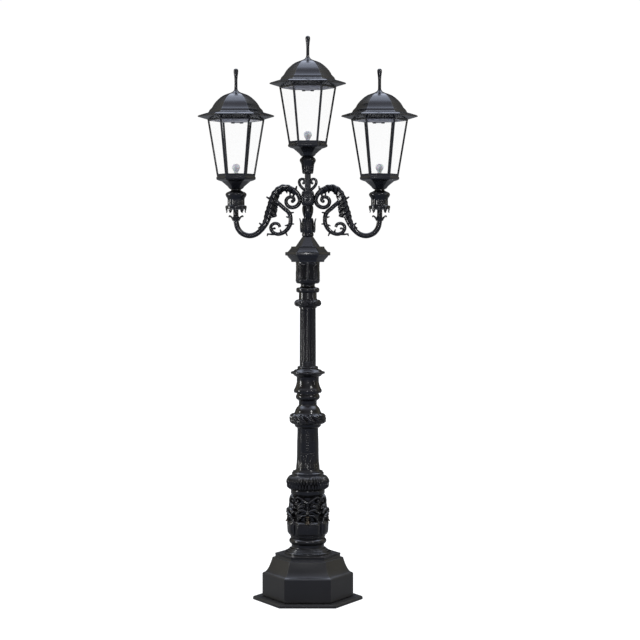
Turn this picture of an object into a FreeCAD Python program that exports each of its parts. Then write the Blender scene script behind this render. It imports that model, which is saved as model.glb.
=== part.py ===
import FreeCAD, Part
import Sketcher
import math
import os
from FreeCAD import Vector, Placement, Rotation

# Three-lantern cast-iron street lamp. Millimetres, +Z up.
# Origin: centre of the underside of the hexagonal base plate, on the column axis.
# Hexagons have two corners on the X axis and flat faces towards -Y (front) and +Y (rear).

doc = FreeCAD.newDocument("street_lamp")
sheet = doc.addObject("Spreadsheet::Sheet", "Sizes")
V = {}
widths = {}
row_no = [0]


def size(alias, value):
    """One driving dimension: label in column A, plain number in column B."""
    if alias in V:
        return V[alias]
    row_no[0] += 1
    sheet.set("A%d" % row_no[0], alias)
    sheet.set("B%d" % row_no[0], "%.4f" % value)
    sheet.setAlias("B%d" % row_no[0], alias)
    V[alias] = float(value)
    return V[alias]


def bind(obj, prop, alias):
    obj.setExpression(prop, "Sizes." + alias)


# ---------------------------------------------------------------- driving sizes
for alias, value in (
    ("plate_corner", 413.0), ("plate_thick", 24.0), ("anchor_circle", 220.0),
    ("anchor_hole", 14.0), ("cable_hole", 38.0),
    ("plinth_corner", 342.0), ("plinth_top", 204.0), ("plinth_wall", 12.0),
    ("plinth_bevel", 7.0),
    ("tube_outer", 44.5), ("tube_inner", 40.0), ("tube_top", 2620.0),
    ("bore_column", 45.0), ("bore_spigot", 23.3),
    ("spigot_outer", 23.0), ("spigot_inner", 18.0),
    ("spigot_bottom", 2600.0), ("spigot_top", 3300.0),
    ("flute_count", 16.0), ("flute_radius", 8.5), ("flute_bottom", 1789.0),
    ("flute_top", 2182.0), ("flute_circle", 64.5),
    ("boss_half", 49.0), ("boss_bottom", 2959.0), ("boss_top", 3064.0),
    ("side_offset", 537.0), ("side_drop", 244.5),
    ("arm_radius", 18.0), ("volute_radius", 11.0), ("branch_radius", 13.0),
    ("heart_radius", 9.0), ("leaf_half", 26.0),
    ("glass_thick", 4.0), ("frame_wall", 11.0), ("bar_width", 10.0),
    ("frame_bottom", 3420.0), ("frame_top", 3844.0),
    ("frame_low_corner", 143.0), ("frame_top_corner", 213.75),
    ("hinge_y", 200.0), ("hinge_z", 3836.0), ("hinge_pin", 4.0),
    ("hinge_bore", 4.05), ("hinge_knuckle", 8.0),
    ("door_wide", 200.0), ("door_high", 120.0), ("door_thick", 6.0),
    ("door_mid_z", 114.0), ("door_gap", 1.0), ("door_lip", 10.0),
    ("door_pin_x", 112.0), ("door_pin_y", 305.0), ("door_pin", 4.0),
    ("door_bore", 4.05), ("lock_x", 75.0), ("lock_radius", 10.0),
    ("lock_bore", 10.05),
    ("mask_tall", 92.0), ("mask_wide", 66.0), ("mask_deep", 36.0),
    ("mask_z", 640.0), ("spout_radius", 22.0), ("spout_bore", 13.0),
    ("spout_z", 586.0), ("spout_reach", 163.5),
):
    size(alias, value)
doc.recompute()


def make_body(label):
    body = doc.addObject("PartDesign::Body", "Body_" + label)
    body.Label = label
    return body


def origin_plane(body, role):
    for feat in body.Origin.OriginFeatures:
        if feat.Role == role:
            return feat
    raise RuntimeError("no plane " + role)


def sketch_on(body, role, name):
    sk = body.newObject("Sketcher::SketchObject", name)
    sk.AttachmentSupport = (origin_plane(body, role), "")
    sk.MapMode = "FlatFace"
    return sk


def arc_mid(p, q, sag):
    """Middle point and radius of an arc of given sag; positive sag bulges off the axis."""
    dx, dz = q[0] - p[0], q[1] - p[1]
    chord = math.hypot(dx, dz)
    nx, nz = dz / chord, -dx / chord
    if nx < 0:
        nx, nz = -nx, -nz
    mid = ((p[0] + q[0]) / 2 + nx * sag, (p[1] + q[1]) / 2 + nz * sag)
    return mid, (chord * chord / 4.0 + sag * sag) / (2.0 * abs(sag))


def turned(label, points, inner, x=0.0, drop=0.0):
    """A casting turned about its own vertical axis.

    points: outer profile from the bottom up, (radius, height[, sag of the arc to the next point]).
    inner: the bore and hollow, from the top down, (radius, height), or None for a solid piece.
    """
    body = make_body(label)
    sk = sketch_on(body, "XZ_Plane", "Profile_" + label)
    loop = [tuple(pt) for pt in points]
    if inner:
        loop += [tuple(pt) for pt in inner]
    else:
        loop += [(0.0, points[-1][1]), (0.0, points[0][1])]
    clean = []
    for pt in loop:
        if clean and abs(clean[-1][0] - pt[0]) < 1e-6 and abs(clean[-1][1] - pt[1]) < 1e-6:
            continue
        clean.append(pt)
    loop = clean
    n = len(loop)
    geo = []
    arcs = {}
    for i in range(n):
        p, q = loop[i], loop[(i + 1) % n]
        if len(p) > 2:
            mid, rad = arc_mid(p, q, p[2])
            arcs[i] = rad
            turn = (mid[0] - p[0]) * (q[1] - p[1]) - (mid[1] - p[1]) * (q[0] - p[0])
            first, last = (p, q) if turn > 0 else (q, p)
            geo.append(Part.Arc(Vector(first[0], first[1], 0), Vector(mid[0], mid[1], 0),
                                Vector(last[0], last[1], 0)))
        else:
            geo.append(Part.LineSegment(Vector(p[0], p[1], 0), Vector(q[0], q[1], 0)))
    sk.addGeometry(geo, False)

    def ends(i):
        """(start index, end index) of edge i, whichever way its arc runs."""
        p = loop[i]
        s = sk.Geometry[i].StartPoint
        if math.hypot(s.x - p[0], s.y - p[1]) < 1e-3:
            return 1, 2
        return 2, 1

    cons, binds = [], []
    for i in range(n):
        j = (i + 1) % n
        cons.append(Sketcher.Constraint("Coincident", i, ends(i)[1], j, ends(j)[0]))
    for i in range(n):
        st = ends(i)[0]
        if loop[i][0] < 1e-6:
            cons.append(Sketcher.Constraint("PointOnObject", i, st, -2))
        else:
            alias = "%s_rad_%02d" % (label, i)
            size(alias, loop[i][0])
            binds.append((len(cons), alias))
            cons.append(Sketcher.Constraint("DistanceX", -1, 1, i, st, loop[i][0]))
        alias = "%s_lev_%02d" % (label, i)
        size(alias, loop[i][1])
        binds.append((len(cons), alias))
        cons.append(Sketcher.Constraint("DistanceY", -1, 1, i, st, loop[i][1]))
    for i, rad in arcs.items():
        alias = "%s_arc_%02d" % (label, i)
        size(alias, rad)
        binds.append((len(cons), alias))
        cons.append(Sketcher.Constraint("Radius", i, rad))
    sk.addConstraint(cons)
    for index, alias in binds:
        sk.setExpression("Constraints[%d]" % index, "Sizes." + alias)
    rev = body.newObject("PartDesign::Revolution", "Turn_" + label)
    rev.Profile = sk
    rev.ReferenceAxis = (sk, ["V_Axis"])
    rev.Angle = 360.0
    body.Tip = rev
    body.Placement = Placement(Vector(x, 0, -drop), Rotation())
    widest = max([p[0] for p in loop] + [arc_mid(loop[i], loop[(i + 1) % n], loop[i][2])[0][0]
                                         for i in arcs])
    widths[label] = widest
    return body


def hexagon(name, corner_alias, level_alias, x=0.0, drop=0.0):
    poly = doc.addObject("Part::RegularPolygon", name)
    poly.Polygon = 6
    bind(poly, "Circumradius", corner_alias)
    poly.setExpression("Placement.Base.z", "Sizes.%s - %s" % (level_alias, drop))
    poly.Placement.Base.x = x
    return poly


def hex_stack(label, sections, x=0.0, drop=0.0, key=None):
    """A hexagonal moulding: flat-sided strips between hexagons, given bottom to top."""
    key = key or label
    polys = []
    for i, (corner, level) in enumerate(sections):
        a, b = "%s_cor_%02d" % (key, i), "%s_lev_%02d" % (key, i)
        size(a, corner)
        size(b, level)
        polys.append(hexagon("Hex_%s_%02d" % (label, i), a, b, x, drop))
    loft = doc.addObject("Part::Loft", "Loft_" + label)
    loft.Sections = polys
    loft.Solid = True
    loft.Ruled = True
    loft.Label = label
    return loft


def cylinder(name, radius_alias, z0, z1, x=0.0, y=0.0):
    cyl = doc.addObject("Part::Cylinder", name)
    bind(cyl, "Radius", radius_alias)
    cyl.Height = z1 - z0
    cyl.Placement = Placement(Vector(x, y, z0), Rotation())
    return cyl


def box(name, x0, x1, y0, y1, z0, z1):
    b = doc.addObject("Part::Box", name)
    b.Length, b.Width, b.Height = x1 - x0, y1 - y0, z1 - z0
    b.Placement = Placement(Vector(x0, y0, z0), Rotation())
    return b


def cut(label, base, tool):
    c = doc.addObject("Part::Cut", "Cut_" + label)
    c.Base, c.Tool = base, tool
    c.Label = label
    return c


def fuse(label, items):
    f = doc.addObject("Part::MultiFuse", "Fuse_" + label)
    f.Shapes = items
    f.Label = label
    return f


def feature(label, shape):
    f = doc.addObject("Part::Feature", "Solid_" + label)
    f.Shape = shape
    f.Label = label
    return f


finals = []


def keep(obj):
    finals.append(obj)
    return obj


# ---------------------------------------------------------------- base and plinth
# Base plate: hexagonal, four anchor holes inside the plinth and a central cable hole.
plate = hex_stack("plate_blank", [(V["plate_corner"], 0.0), (V["plate_corner"], 18.0),
                                  (V["plate_corner"] - 6.0, V["plate_thick"])])
holes = [cylinder("Plate_cable_hole", "cable_hole", -5, 40)]
for i in range(4):
    a = math.radians(45 + 90 * i)
    holes.append(cylinder("Plate_anchor_%d" % i, "anchor_hole", -5, 40,
                          V["anchor_circle"] * math.cos(a), V["anchor_circle"] * math.sin(a)))
keep(cut("base_plate", plate, fuse("plate_holes", holes)))

# Plinth shell: hexagonal casting with bevelled edges and a rebated doorway in its rear face.
pc, pt, pw, pb = V["plinth_corner"], V["plinth_top"], V["plinth_wall"], V["plinth_bevel"]
shell = hex_stack("plinth_blank", [(pc - pb, 24.0), (pc, 24.0 + pb), (pc, pt - pb), (pc - pb, pt)])
core = hex_stack("plinth_core", [(pc - pw / 0.866, 14.0), (pc - pw / 0.866, pt + 10.0)])
rear = pc * math.cos(math.pi / 6)
dw, dh, dm = V["door_wide"] / 2, V["door_high"] / 2, V["door_mid_z"]
gap, lip = V["door_gap"], V["door_lip"]
rebate = box("Door_rebate", -dw - gap, dw + gap, rear - V["door_thick"] - 0.5, rear + 20,
             dm - dh - gap, dm + dh + gap)
through = box("Door_through", -dw + lip, dw - lip, rear - 40, rear + 20, dm - dh + lip, dm + dh - lip)
px, py = V["door_pin_x"], V["door_pin_y"]
size("door_knuckle", 8.0)
lugs = []
for i, (z0, z1) in enumerate(((56.0, 75.0), (153.0, 172.0))):
    lugs.append(cylinder("Door_lug_round_%d" % i, "door_knuckle", z0, z1, px, py))
    lugs.append(box("Door_lug_block_%d" % i, px - 6, px + 8, rear - 3, py, z0, z1))
walls = cut("plinth_walls", shell, fuse("plinth_hollows", [core, rebate, through]))
joined = fuse("plinth_with_lugs", [walls] + lugs)
keep(cut("plinth_shell", joined, cylinder("Door_pin_seat", "door_pin", 40, 190, px, py)))

# Plinth flare and cap: one hexagonal cavetto casting, hollow below, standing on the plinth.
flare = hex_stack("flare_blank", [
    (335.0, 204.0), (319.5, 210.0), (306.0, 225.0), (296.3, 240.0), (288.8, 255.0),
    (282.0, 270.0), (276.8, 285.0), (272.0, 300.0), (266.3, 319.0), (248.5, 319.5),
    (244.5, 327.0), (244.5, 340.0), (248.5, 349.0)])
flare_core = hex_stack("flare_core", [(318.0, 200.0), (300.0, 212.0), (270.0, 250.0),
                                      (252.0, 290.0), (232.0, 310.0), (225.0, 335.0)])
keep(cut("plinth_flare", flare, fuse("flare_hollow", [
    flare_core, cylinder("Flare_bore", "bore_column", 300, 360)])))

# ---------------------------------------------------------------- column castings
bc = V["bore_column"]
keep(turned("foot_moulding", [
    (176.0, 349.0), (176.0, 364.0), (170.0, 367.0), (152.0, 368.0), (152.0, 382.0),
    (139.0, 384.0), (139.0, 396.0), (120.0, 399.0), (120.0, 419.0),
    (121.0, 420.0, 18.0), (121.0, 469.0)],
    [(bc, 469.0), (bc, 459.0), (104.0, 459.0), (104.0, 361.0), (bc, 361.0), (bc, 349.0)]))
keep(turned("mask_drum", [
    (127.5, 469.0), (127.5, 686.0), (135.0, 690.0), (135.0, 758.0), (127.5, 762.0),
    (127.5, 829.0)],
    [(bc, 829.0), (bc, 817.0), (113.0, 817.0), (113.0, 481.0), (bc, 481.0), (bc, 469.0)]))
keep(turned("gadroon_collar", [
    (125.0, 829.0), (136.5, 832.5, 22.5), (138.8, 930.0), (122.0, 934.0), (120.0, 938.0),
    (120.0, 955.0), (112.5, 960.0), (112.5, 967.5)],
    [(bc, 967.5), (bc, 955.5), (104.0, 955.5), (104.0, 841.0), (bc, 841.0), (bc, 829.0)]))
keep(turned("lower_shaft", [
    (96.8, 967.5), (89.3, 982.5), (87.0, 1004.0), (84.0, 1035.0), (82.0, 1090.0),
    (81.0, 1188.0), (78.4, 1255.0), (78.4, 1290.0)],
    [(bc, 1290.0), (bc, 1278.0), (66.0, 1278.0), (70.0, 980.0), (bc, 980.0), (bc, 967.5)]))
keep(turned("leaf_torus", [
    (79.0, 1290.0), (96.8, 1303.0), (100.5, 1322.0), (112.0, 1328.0, 18.5),
    (121.5, 1396.0), (103.0, 1402.5)],
    [(bc, 1402.5), (bc, 1290.0)]))
keep(turned("bell_coupling", [
    (102.4, 1402.5), (97.5, 1412.0, 4.0), (72.0, 1456.0), (67.5, 1462.0), (67.5, 1494.0),
    (73.5, 1500.0, 11.0), (84.5, 1541.0), (82.5, 1545.0), (82.5, 1556.0)],
    [(bc, 1556.0), (bc, 1402.5)]))
keep(turned("skirt_collar", [
    (101.0, 1556.0, 2.5), (104.5, 1577.0, -3.0), (84.0, 1632.0), (83.3, 1636.0),
    (83.3, 1674.0), (100.0, 1684.0), (110.0, 1699.0), (127.5, 1703.0), (127.5, 1711.0),
    (108.0, 1716.0), (98.0, 1728.0), (81.0, 1731.0), (75.8, 1740.0), (79.0, 1744.0),
    (79.0, 1750.0), (68.0, 1755.0)],
    [(bc, 1755.0), (bc, 1556.0)]))

# Fluted shaft: a straight cylinder with sixteen hollow flutes cut up its length.
shaft = turned("fluted_shaft", [(61.1, 1755.0), (59.3, 2190.0)], [(bc, 2190.0), (bc, 1755.0)])
flute_sk = sketch_on(shaft, "XY_Plane", "Flute_circle")
flute_sk.AttachmentOffset = Placement(Vector(0, 0, V["flute_bottom"]), Rotation())
flute_sk.addGeometry(Part.Circle(Vector(V["flute_circle"], 0, 0), Vector(0, 0, 1),
                                 V["flute_radius"]), False)
flute_sk.addConstraint([
    Sketcher.Constraint("Radius", 0, V["flute_radius"]),
    Sketcher.Constraint("DistanceX", -1, 1, 0, 3, V["flute_circle"]),
    Sketcher.Constraint("PointOnObject", 0, 3, -1)])
flute_sk.setExpression("Constraints[0]", "Sizes.flute_radius")
flute_sk.setExpression("Constraints[1]", "Sizes.flute_circle")
doc.recompute()
plain_volume = shaft.Shape.Volume
flute = shaft.newObject("PartDesign::Pocket", "Flute")
flute.Profile = flute_sk
flute.setExpression("Length", "Sizes.flute_top - Sizes.flute_bottom")
flute.Reversed = True
doc.recompute()
around = shaft.newObject("PartDesign::PolarPattern", "Flutes_around")
around.Originals = [flute]
around.Axis = (flute_sk, ["N_Axis"])
around.Angle = 360.0
around.Occurrences = int(V["flute_count"])
shaft.Tip = around
doc.recompute()
print("fluted shaft", round(plain_volume), "->", round(shaft.Shape.Volume))
if shaft.Shape.Volume > plain_volume - 1000:
    raise RuntimeError("the flutes cut nothing")
keep(shaft)

keep(turned("upper_ring", [
    (66.4, 2190.0), (66.4, 2199.0), (90.0, 2204.0, 13.0), (90.0, 2251.0), (68.0, 2256.0),
    (67.0, 2306.0)],
    [(bc, 2306.0), (bc, 2190.0)]))
keep(turned("neck_ring", [
    (72.0, 2306.0, 13.5), (72.0, 2340.0), (57.0, 2346.0), (52.5, 2354.0), (52.5, 2364.0),
    (57.4, 2374.0)],
    [(bc, 2374.0), (bc, 2306.0)]))
keep(turned("upper_drum", [
    (76.0, 2374.0, 4.0), (90.0, 2393.0), (91.8, 2400.0), (91.8, 2462.0), (90.0, 2467.0),
    (90.0, 2535.0)],
    [(bc, 2535.0), (bc, 2523.0), (78.0, 2523.0), (78.0, 2395.0), (bc, 2386.0), (bc, 2374.0)]))

# Hexagonal collar with its pyramid: one casting; the column tube ends inside it.
collar = hex_stack("collar_blank", [
    (123.0, 2535.0), (124.5, 2546.0), (134.0, 2557.0), (148.5, 2572.0), (155.0, 2583.0),
    (168.8, 2584.0), (168.8, 2605.0), (149.5, 2606.5), (138.0, 2625.0), (126.0, 2640.0),
    (124.5, 2651.0), (91.0, 2651.5), (39.0, 2727.0)])
keep(cut("hex_collar", collar, fuse("collar_bores", [
    cylinder("Collar_bore_low", "bore_column", 2500, V["tube_top"]),
    cylinder("Collar_bore_high", "bore_spigot", 2600, 2760)])))

# ---------------------------------------------------------------- bracket stem
bs = V["bore_spigot"]
keep(turned("leaf_cup", [
    (40.0, 2727.0), (44.0, 2731.0), (44.0, 2748.0), (46.0, 2752.0), (51.0, 2771.0),
    (57.8, 2846.0), (50.0, 2861.0)], [(bs, 2861.0), (bs, 2727.0)]))
keep(turned("centre_stem", [
    (28.0, 2861.0), (28.0, 2872.0), (35.0, 2899.0), (35.0, 2959.0)],
    [(bs, 2959.0), (bs, 2861.0)]))
h = V["boss_half"]
boss_block = box("Boss_block", -h, h, -h, h, V["boss_bottom"], V["boss_top"])
boss_round = doc.addObject("Part::Fillet", "Boss_round")
boss_round.Base = boss_block
doc.recompute()
upright = []
for i, e in enumerate(boss_block.Shape.Edges):
    a, b = e.Vertexes[0].Point, e.Vertexes[-1].Point
    if abs(a.x - b.x) < 1e-6 and abs(a.y - b.y) < 1e-6:
        upright.append((i + 1, 14.0, 14.0))
boss_round.Edges = upright
keep(cut("bracket_boss", boss_round,
         cylinder("Boss_bore", "bore_spigot", V["boss_bottom"] - 5, V["boss_top"] + 5)))
keep(turned("centre_socket", [
    (36.0, 3195.0), (40.5, 3199.0), (48.0, 3262.0), (53.0, 3277.0, 8.2), (52.0, 3314.0),
    (41.0, 3322.5)], [(0.0, 3322.5), (0.0, 3300.0), (bs, 3300.0), (bs, 3195.0)]))

# Steel tubes: the column tube stands on the base plate; the spigot tube carries the brackets.
tube = cut("core_tube_plain", cylinder("Tube_outside", "tube_outer", 24.0, V["tube_top"]),
           cylinder("Tube_inside", "tube_inner", 20.0, V["tube_top"] + 5))
keep(cut("core_tube", tube, box("Tube_cable_slot", -22, 22, 20, 60, 212, 292)))
keep(cut("spigot_tube",
         cylinder("Spigot_outside", "spigot_outer", V["spigot_bottom"], V["spigot_top"]),
         cylinder("Spigot_inside", "spigot_inner", V["spigot_bottom"] - 5, V["spigot_top"] + 5)))

# ---------------------------------------------------------------- masks and spouts
# Four grotesque masks round the drum, each a bowed casting seated on it, with a brass spout.
mask_solids, spout_solids = [], []
for i in range(4):
    turn = Rotation(Vector(0, 0, 1), 90 * i)
    e = Part.makeSphere(1.0)
    grow = FreeCAD.Matrix()
    grow.scale(V["mask_wide"], V["mask_deep"], V["mask_tall"])
    e = e.transformGeometry(grow)
    e.translate(Vector(0, -127.0, V["mask_z"]))
    e = e.cut(Part.makeCylinder(127.5, 400, Vector(0, 0, 450)))
    e = e.cut(Part.makeCylinder(135.0, 76, Vector(0, 0, 686)))
    e = e.cut(Part.makeCylinder(V["spout_radius"], 100, Vector(0, -100, V["spout_z"]),
                                Vector(0, -1, 0)))
    s = Part.makeCylinder(V["spout_radius"], V["spout_reach"] - 135.0,
                          Vector(0, -135.0, V["spout_z"]), Vector(0, -1, 0))
    s = s.cut(Part.makeCylinder(V["spout_bore"], 100, Vector(0, -145, V["spout_z"]),
                                Vector(0, -1, 0)))
    for shape, bag in ((e, mask_solids), (s, spout_solids)):
        big = max(shape.Solids, key=lambda q: q.Volume)
        big = big.copy()
        big.Placement = Placement(Vector(), turn).multiply(big.Placement)
        bag.append(big)
keep(feature("masks", Part.makeCompound(mask_solids)))
keep(feature("mask_spouts", Part.makeCompound(spout_solids)))


# ---------------------------------------------------------------- brackets
def smooth_path(points, share=0.46):
    """Straight runs joined by tangent arcs through a chain of points in the XZ plane."""
    pts = [Vector(p[0], 0, p[1]) for p in points]
    edges, at = [], pts[0]
    for i in range(1, len(pts) - 1):
        a, b, c = pts[i - 1], pts[i], pts[i + 1]
        u, w = (a - b), (c - b)
        reach = share * min(u.Length, w.Length)
        u.normalize()
        w.normalize()
        turn = math.pi - u.getAngle(w)
        if turn < 0.02:
            continue
        p, q = b + u * reach, b + w * reach
        rad = reach / math.tan(turn / 2)
        half = (u + w)
        half.normalize()
        mid = b + half * (math.hypot(rad, reach) - rad)
        edges.append(Part.LineSegment(at, p).toShape())
        edges.append(Part.Arc(p, mid, q).toShape())
        at = q
    edges.append(Part.LineSegment(at, pts[-1]).toShape())
    return Part.Wire(edges)


def rod(points, radius):
    wire = smooth_path(points)
    start = wire.OrderedVertexes[0].Point
    way = (Vector(points[1][0], 0, points[1][1]) - Vector(points[0][0], 0, points[0][1]))
    ring = Part.Wire([Part.makeCircle(radius, start, way)])
    solid = wire.makePipeShell([ring], True, False)
    ideal = math.pi * radius * radius * wire.Length
    print("rod volume ratio %.3f" % (solid.Volume / ideal))
    return solid


ARM = [(-537, 2950), (-537, 2866), (-533, 2822), (-518, 2778), (-486, 2744), (-440, 2730),
       (-394, 2742), (-348, 2778), (-312, 2823), (-290, 2877), (-277, 2923), (-262, 2992),
       (-243, 3052), (-204, 3088), (-158, 3090), (-113, 3068), (-76, 3032), (-57, 2999)]
VOLUTE = [(-60, 3006), (-64, 2980), (-82, 2955), (-112, 2944), (-142, 2952), (-160, 2978),
          (-156, 3006), (-134, 3022), (-108, 3014)]
BRANCH = [(-262, 2996), (-226, 2982), (-186, 2946), (-153, 2916), (-132, 2886), (-127, 2850),
          (-134, 2812), (-154, 2777), (-186, 2752), (-226, 2743), (-260, 2757), (-276, 2786),
          (-264, 2816), (-236, 2824), (-212, 2808)]
HEART = [(-30, 3066), (-31, 3086), (-50, 3104), (-65, 3124), (-62, 3146), (-44, 3152),
         (-35, 3139)]
LEAF = [(-318, 2836), (-300, 2846), (-262, 2872), (-232, 2880), (-236, 2904), (-222, 2926),
        (-232, 2944), (-218, 2966), (-226, 2990), (-210, 3014), (-216, 3050), (-224, 3064),
        (-246, 3036), (-270, 3020), (-300, 3016), (-296, 2990), (-310, 2960), (-304, 2930),
        (-322, 2900), (-322, 2868)]
boss_shape = None
doc.recompute()
boss_solid = Part.makeBox(2 * h, 2 * h, V["boss_top"] - V["boss_bottom"],
                          Vector(-h, -h, V["boss_bottom"]))
stem_solid = Part.makeCylinder(V["spigot_outer"] + 0.3, 900, Vector(0, 0, 2560))


def largest(shape):
    return max(shape.Solids, key=lambda q: q.Volume)


arm = largest(rod(ARM, V["arm_radius"]).cut(boss_solid))
volute = largest(rod(VOLUTE, V["volute_radius"]).cut(boss_solid).cut(arm))
branch = largest(rod(BRANCH, V["branch_radius"]).cut(arm))
leaf_wire = Part.makePolygon([Vector(p[0], -V["leaf_half"], p[1]) for p in LEAF + LEAF[:1]])
leaf = Part.Face(leaf_wire).extrude(Vector(0, 2 * V["leaf_half"], 0))
leaf = largest(leaf.cut(arm).cut(branch))
heart = largest(rod(HEART, V["heart_radius"]).cut(stem_solid).cut(boss_solid))


def mirrored(shape):
    return shape.mirror(Vector(0, 0, 0), Vector(1, 0, 0))


for side, flip in (("left", False), ("right", True)):
    pick = (lambda q: mirrored(q)) if flip else (lambda q: q.copy())
    keep(feature("arm_" + side, pick(arm)))
    keep(feature("scrolls_" + side, Part.makeCompound([pick(volute), pick(branch)])))
    keep(feature("acanthus_" + side, pick(leaf)))
keep(feature("heart_scrolls", Part.makeCompound([heart.copy(), mirrored(heart)])))

for side, sx in (("left", -1), ("right", 1)):
    keep(turned("holder_" + side, [
        (44.0, 2906.0), (58.0, 2916.0), (64.0, 2930.0), (78.8, 2932.5), (78.8, 2951.0),
        (60.0, 2953.0), (60.0, 3004.0), (64.0, 3014.0, 19.5), (52.0, 3060.0), (38.0, 3070.0),
        (36.0, 3078.0)],
        [(0.0, 3078.0), (0.0, 2950.0), (V["arm_radius"], 2950.0), (V["arm_radius"], 2906.0)],
        x=sx * V["side_offset"]))


# ---------------------------------------------------------------- lanterns
def corner_at(level, extra=0.0):
    """Corner radius of the tapering glazed body at a height, less an inward offset."""
    t = (level - V["frame_bottom"]) / (V["frame_top"] - V["frame_bottom"])
    return (V["frame_low_corner"] + t * (V["frame_top_corner"] - V["frame_low_corner"])
            - extra / math.cos(math.pi / 6))


def face_panel(low, high, depth0, depth1, side_in):
    """The trapezium of one glazed side between two heights, facing -Y."""
    rows = []
    for z in (low, high):
        apo = corner_at(z) * math.cos(math.pi / 6)
        half = corner_at(z) / 2 - side_in
        rows.append((half, apo, z))
    (ha, pa, za), (hb, pb_, zb) = rows
    wa = [Vector(-ha, -pa + depth0, za), Vector(ha, -pa + depth0, za),
          Vector(hb, -pb_ + depth0, zb), Vector(-hb, -pb_ + depth0, zb)]
    wire = Part.makePolygon(wa + wa[:1])
    return Part.Face(wire).extrude(Vector(0, depth1 - depth0, 0))


ROOF = [(213.75, 3844.3), (286.0, 3866.0), (286.5, 3873.0), (279.0, 3877.5), (254.0, 3885.0),
        (229.0, 3892.5), (210.0, 3900.0), (202.0, 3907.5), (190.5, 3922.5), (180.4, 3937.5),
        (170.0, 3952.5), (160.0, 3967.5), (147.0, 3982.5), (131.3, 3997.5), (114.0, 4012.5),
        (90.0, 4027.5), (74.3, 4035.0), (50.6, 4042.5), (30.8, 4050.0), (14.0, 4064.0)]
ROOF_IN = [(183.0, 3815.0), (183.0, 3854.0), (226.0, 3869.0), (206.0, 3887.0), (184.0, 3908.0),
           (163.0, 3945.0), (142.0, 3970.0), (96.0, 4008.0), (20.0, 4038.0)]
TRAY = [(41.0, 3322.5), (53.0, 3330.0), (63.8, 3345.0), (81.0, 3360.0), (108.0, 3382.5),
        (132.5, 3390.0), (147.0, 3397.5), (148.5, 3410.0), (144.5, 3420.0)]

for name, ox, drop in (("centre", 0.0, 0.0), ("left", -V["side_offset"], V["side_drop"]),
                       ("right", V["side_offset"], V["side_drop"])):
    shift = Vector(ox, 0, -drop)
    tray = hex_stack("tray_" + name, TRAY, ox, drop, key="tray")
    keep(tray)

    # Glazed body: six corner bars between a bottom and a top ring, open through the middle.
    lo, hi = V["frame_bottom"], V["frame_top"]

    def hex_wire(corner, z):
        return Part.makePolygon([Vector(corner * math.cos(math.radians(60 * q)),
                                        corner * math.sin(math.radians(60 * q)), z)
                                 for q in range(7)])
    outer = Part.makeLoft([hex_wire(corner_at(lo), lo), hex_wire(corner_at(hi), hi)], True, True)
    wall = V["frame_wall"]
    inner = Part.makeLoft([hex_wire(corner_at(lo - 5, wall), lo - 5),
                           hex_wire(corner_at(hi + 5, wall), hi + 5)], True, True)
    frame = outer.cut(inner)
    panes = []
    for q in range(6):
        spin = Rotation(Vector(0, 0, 1), 60 * q)
        hole = face_panel(lo + 18, hi - 8, -8, 30, V["bar_width"])
        hole.Placement = Placement(Vector(), spin)
        frame = frame.cut(hole)
        pane = face_panel(lo + 18, hi - 8, 3.0, 3.0 + V["glass_thick"], V["bar_width"])
        pane.Placement = Placement(Vector(), spin)
        panes.append(pane)
    hy, hz, kr = V["hinge_y"], V["hinge_z"], V["hinge_knuckle"]
    for x0, x1 in ((-44.0, -20.0), (20.0, 44.0)):
        lug = Part.makeCylinder(kr, x1 - x0, Vector(x0, hy, hz), Vector(1, 0, 0))
        lug = lug.fuse(Part.makeBox(x1 - x0, hy - 181.0, 12.0, Vector(x0, 181.0, hz - 8.0)))
        frame = frame.fuse(lug)
    frame = frame.cut(Part.makeCylinder(V["hinge_pin"], 200, Vector(-100, hy, hz),
                                        Vector(1, 0, 0)))
    frame = frame.removeSplitter()
    frame.translate(shift)
    keep(feature("frame_" + name, frame))
    glass = Part.makeCompound(panes)
    glass.translate(shift)
    keep(feature("glass_" + name, glass))

    # Roof: hexagonal ogee shell with an eave, an inner skirt and one hinge knuckle at the rear.
    shell_out = Part.makeLoft([hex_wire(c, z) for c, z in ROOF], True, True)
    skirt = Part.makeLoft([hex_wire(190.0, 3836.0), hex_wire(190.0, 3860.0)], True, True)
    hollow = Part.makeLoft([hex_wire(c, z) for c, z in ROOF_IN], True, True)
    knuckle = Part.makeCylinder(kr, 39.0, Vector(-19.5, hy, hz), Vector(1, 0, 0))
    knuckle = knuckle.fuse(Part.makeBox(39.0, 12.0, 22.0, Vector(-19.5, hy - 4.0, hz)))
    roof = shell_out.fuse(skirt).fuse(knuckle).cut(hollow)
    roof = roof.cut(Part.makeCylinder(V["hinge_bore"], 60, Vector(-30, hy, hz), Vector(1, 0, 0)))
    roof = largest(roof)
    roof.translate(shift)
    keep(feature("roof_" + name, roof))

    keep(turned("finial_" + name, [
        (12.0, 4064.0), (10.5, 4070.0), (10.0, 4144.0), (14.0, 4180.0), (17.6, 4208.0),
        (16.0, 4219.0), (8.0, 4225.0)], None, ox, drop))
    keep(turned("lampholder_" + name, [
        (26.0, 3420.0), (26.0, 3426.0), (19.0, 3429.0), (19.0, 3447.0)],
        [(13.5, 3447.0), (13.5, 3430.0), (0.0, 3430.0), (0.0, 3420.0)], ox, drop))
    keep(turned("bulb_" + name, [
        (13.2, 3430.0), (13.2, 3447.5), (17.0, 3456.0), (27.0, 3472.0), (30.0, 3485.0, 6.1),
        (8.0, 3514.0)], None, ox, drop))

pins = []
for ox, drop in ((0.0, 0.0), (-V["side_offset"], V["side_drop"]), (V["side_offset"], V["side_drop"])):
    pins.append(Part.makeCylinder(V["hinge_pin"], 96.0,
                                  Vector(ox - 48, V["hinge_y"], V["hinge_z"] - drop),
                                  Vector(1, 0, 0)))
keep(feature("roof_hinge_pins", Part.makeCompound(pins)))

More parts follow.
